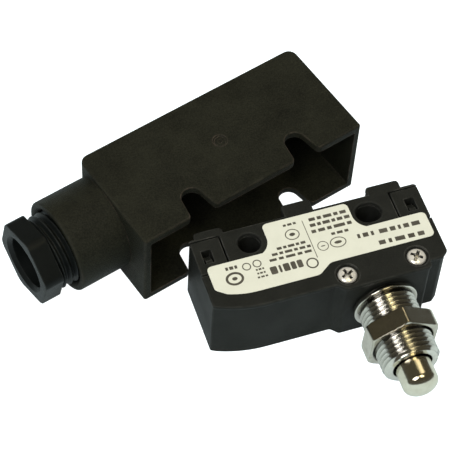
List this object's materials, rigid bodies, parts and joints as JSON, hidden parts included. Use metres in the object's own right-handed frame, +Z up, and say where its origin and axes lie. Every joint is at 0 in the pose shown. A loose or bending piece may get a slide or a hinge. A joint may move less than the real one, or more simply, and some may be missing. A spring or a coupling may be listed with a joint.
{
  "type": "limit switch",
  "caption": "Snap-action limit switch with a threaded plunger head and screw terminals, beside its loose terminal hood with a cable gland.",
  "frame": {"origin": "on the resting face, midway between the two mounting holes", "axes": "+X along the switch towards the plunger's end, -Y the way the plunger points, +Y the terminals, +Z up off the resting face"},
  "size_m": [0.0826, 0.0785, 0.0212],
  "materials": {
    "housing_plastic": "satin black-brown moulded thermoset",
    "hood_plastic": "fine-grained satin black-brown moulding",
    "inner_plastic": "plain moulded insulating plastic",
    "nickel": "warm bright nickel plate",
    "steel": "plain spring and plated steel",
    "brass": "plain brass strip",
    "silver": "silver contact alloy",
    "rubber": "black sealing rubber",
    "label_film": "cream printed film"
  },
  "bodies": {
    "housing": {"housing_base": "housing_plastic", "housing_cover": "housing_plastic", "rating_label": "label_film", "casing_screw_left": "nickel", "casing_screw_right": "nickel", "threaded_sleeve": "nickel", "plunger_seal": "rubber", "pin_guide": "inner_plastic", "terminal_nc": "brass", "terminal_no": "brass", "terminal_com": "brass", "fixed_contact_nc": "silver", "fixed_contact_no": "silver"},
    "plunger": {"plunger": "nickel"},
    "pin": {"push_pin": "inner_plastic", "overtravel_spring": "steel"},
    "blade": {"snap_blade": "steel", "moving_contact": "silver", "snap_spring": "steel"},
    "nut": {"hex_nut": "nickel"},
    "clamp_nc": {"clamp_plate_nc": "steel"},
    "clamp_no": {"clamp_plate_no": "steel"},
    "clamp_com": {"clamp_plate_com": "steel"},
    "screw_nc": {"terminal_screw_nc": "nickel"},
    "screw_no": {"terminal_screw_no": "nickel"},
    "screw_com": {"terminal_screw_com": "nickel"},
    "hood": {"hood_shell": "hood_plastic", "gland_seal": "rubber"},
    "gland_washer": {"gland_washer": "nickel"},
    "gland_nut": {"gland_nut": "hood_plastic"}
  },
  "joints": [
    {"name": "plunger_travel", "type": "slide", "parent": "housing", "child": "plunger", "axis": [0, 1, 0], "range_m": [0, 0.0045], "stiffness_N_per_m": 600, "springref_m": -0.004, "deforming": ["overtravel_spring"]},
    {"name": "pin_travel", "type": "slide", "parent": "housing", "child": "pin", "axis": [0, 1, 0], "range_m": [0, 0.0003], "deforming": ["overtravel_spring"]},
    {"name": "blade_rock", "type": "hinge", "parent": "housing", "child": "blade", "pos_m": [0.0174, -0.0082, 0.00875], "axis": [0, 0, -1], "range_deg": [0, 2.6]},
    {"name": "nut_slide", "type": "slide", "parent": "housing", "child": "nut", "axis": [0, 1, 0], "range_m": [-0.0048, 0.005]},
    {"name": "clamp_nc_lift", "type": "slide", "parent": "housing", "child": "clamp_nc", "axis": [0, 1, 0], "range_m": [0, 0.001]},
    {"name": "screw_nc_turn", "type": "hinge", "parent": "clamp_nc", "child": "screw_nc", "pos_m": [-0.0199, 0.007, 0.0076], "axis": [0, 1, 0], "range_deg": [0, 720]},
    {"name": "clamp_no_lift", "type": "slide", "parent": "housing", "child": "clamp_no", "axis": [0, 1, 0], "range_m": [0, 0.001]},
    {"name": "screw_no_turn", "type": "hinge", "parent": "clamp_no", "child": "screw_no", "pos_m": [-0.0008, 0.007, 0.0076], "axis": [0, 1, 0], "range_deg": [0, 720]},
    {"name": "clamp_com_lift", "type": "slide", "parent": "housing", "child": "clamp_com", "axis": [0, 1, 0], "range_m": [0, 0.001]},
    {"name": "screw_com_turn", "type": "hinge", "parent": "clamp_com", "child": "screw_com", "pos_m": [0.0176, 0.007, 0.0076], "axis": [0, 1, 0], "range_deg": [0, 720]},
    {"name": "hood_slide", "type": "slide", "parent": "housing", "child": "hood", "axis": [-0.2807, 0.9598, 0], "range_m": [0, 0.025]},
    {"name": "gland_press", "type": "slide", "parent": "hood", "child": "gland_washer", "axis": [0.9598, 0.2807, 0], "range_m": [0, 0.003], "deforming": ["gland_seal"]},
    {"name": "gland_nut_turn", "type": "hinge", "parent": "gland_washer", "child": "gland_nut", "pos_m": [-0.05168, 0.01381, 0.0106], "axis": [0.9598, 0.2807, 0], "range_deg": [0, 720], "deforming": ["gland_seal"]}
  ],
  "couplings": [
    {"joint": "pin_travel", "follows": "plunger_travel", "ratio": 0.064},
    {"joint": "blade_rock", "follows": "plunger_travel", "rad_per_m": 9.6},
    {"joint": "screw_nc_turn", "follows": "clamp_nc_lift", "rad_per_m": 12566},
    {"joint": "screw_no_turn", "follows": "clamp_no_lift", "rad_per_m": 12566},
    {"joint": "screw_com_turn", "follows": "clamp_com_lift", "rad_per_m": 12566},
    {"joint": "gland_nut_turn", "follows": "gland_press", "rad_per_m": 4188.7}
  ]
}
